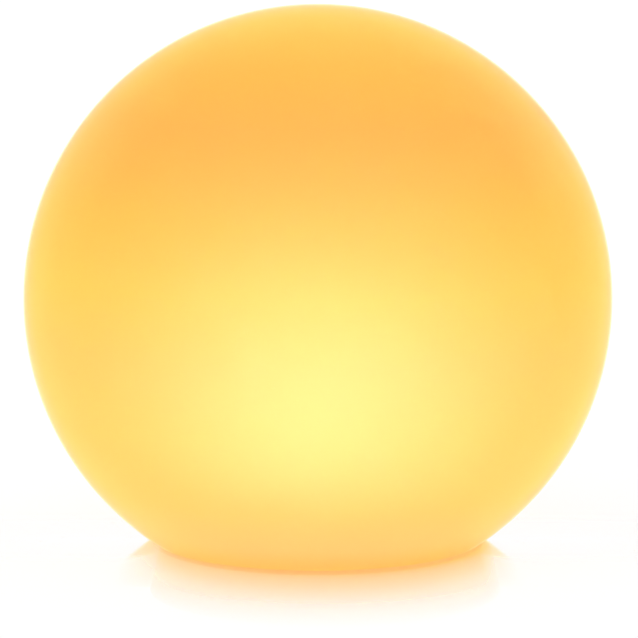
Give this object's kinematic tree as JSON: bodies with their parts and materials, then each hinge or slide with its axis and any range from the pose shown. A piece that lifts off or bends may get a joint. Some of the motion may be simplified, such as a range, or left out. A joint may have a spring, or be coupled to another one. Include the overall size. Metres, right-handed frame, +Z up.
{
  "type": "garden globe light",
  "caption": "Satin opal globe lamp on a flat foot, glowing amber. A quarter-turn ring holds the globe on a sealed cordless light module with a button and a capped inlet.",
  "frame": {"origin": "on the ground under the globe's axis", "axes": "+Z up along the globe's axis; -Y towards the charging inlet"},
  "size_m": [0.25, 0.25, 0.229],
  "materials": {
    "opal_glass": "satin opal, lit amber",
    "silicone_white": "matte",
    "white_polycarbonate": "satin",
    "silicone_grey": "matte",
    "grey_polycarbonate": "fine texture",
    "black_silicone": "matte",
    "stainless_steel": "turned",
    "black_plastic": "matte",
    "clear_acrylic": "polished",
    "led_phosphor": "lit",
    "green_board": "solder mask",
    "ferrite": "matte",
    "capacitor_can": "drawn can",
    "white_nylon": "natural",
    "cell_sleeve": "shrink sleeve",
    "nickel_strip": "rolled",
    "lead_insulation": "smooth",
    "aluminium": "extruded",
    "white_board": "solder mask",
    "opal_acrylic": "lit opal",
    "white_reflector": "satin"
  },
  "bodies": {
    "base": {"base_tub": "white_polycarbonate", "base_cover": "grey_polycarbonate", "cover_seal": "black_silicone", "foot_ring": "black_silicone", "cover_screws": "stainless_steel", "button_boot": "silicone_white", "tact_switch": "black_plastic", "charge_socket": "stainless_steel", "cap_pin": "stainless_steel", "status_light_pipe": "clear_acrylic", "status_led": "led_phosphor", "breather_vent": "black_plastic", "control_board": "green_board", "board_screws": "stainless_steel", "board_chips": "black_plastic", "board_inductor": "ferrite", "board_capacitors": "capacitor_can", "board_sockets": "white_nylon", "lead_plugs": "white_nylon", "battery_cell_1": "cell_sleeve", "battery_cell_2": "cell_sleeve", "battery_tray": "black_plastic", "battery_straps": "white_nylon", "strap_screws": "stainless_steel", "battery_tabs": "nickel_strip", "led_leads": "lead_insulation", "battery_leads": "lead_insulation", "wire_grommet": "black_silicone", "engine_gasket": "silicone_grey", "heat_spreader": "aluminium", "led_column": "aluminium", "led_strip_boards": "white_board", "side_leds": "led_phosphor", "led_top_board": "white_board", "top_leds": "led_phosphor", "top_board_screws": "stainless_steel", "lamp_diffuser": "opal_acrylic", "engine_screws": "stainless_steel", "reflector": "white_reflector"},
    "globe": {"globe_shell": "opal_glass", "collar_bond": "silicone_white", "globe_collar": "white_polycarbonate", "collar_gasket": "silicone_grey"},
    "lock_ring": {"lock_ring": "grey_polycarbonate"},
    "power_button": {"power_button": "silicone_grey", "switch_plunger": "black_plastic"},
    "inlet_cap": {"inlet_cap": "black_silicone", "cap_seal": "silicone_grey"}
  },
  "joints": [
    {"name": "globe_lift", "type": "slide", "parent": "base", "child": "globe", "axis": [0, 0, 1], "range_m": [0, 0.12]},
    {"name": "lock_ring_turn", "type": "hinge", "parent": "base", "child": "lock_ring", "pos_m": [0, 0, 0.0036], "axis": [0, 0, 1], "range_deg": [0, 24]},
    {"name": "power_button_press", "type": "slide", "parent": "base", "child": "power_button", "axis": [0, 0, 1], "range_m": [0, 0.001], "stiffness_N_per_m": 300, "springref_m": -0.003, "deforming": ["button_boot"]},
    {"name": "inlet_cap_swing", "type": "hinge", "parent": "base", "child": "inlet_cap", "pos_m": [0, -0.02855, 0.00195], "axis": [-1, 0, 0], "range_deg": [0, 100]}
  ]
}
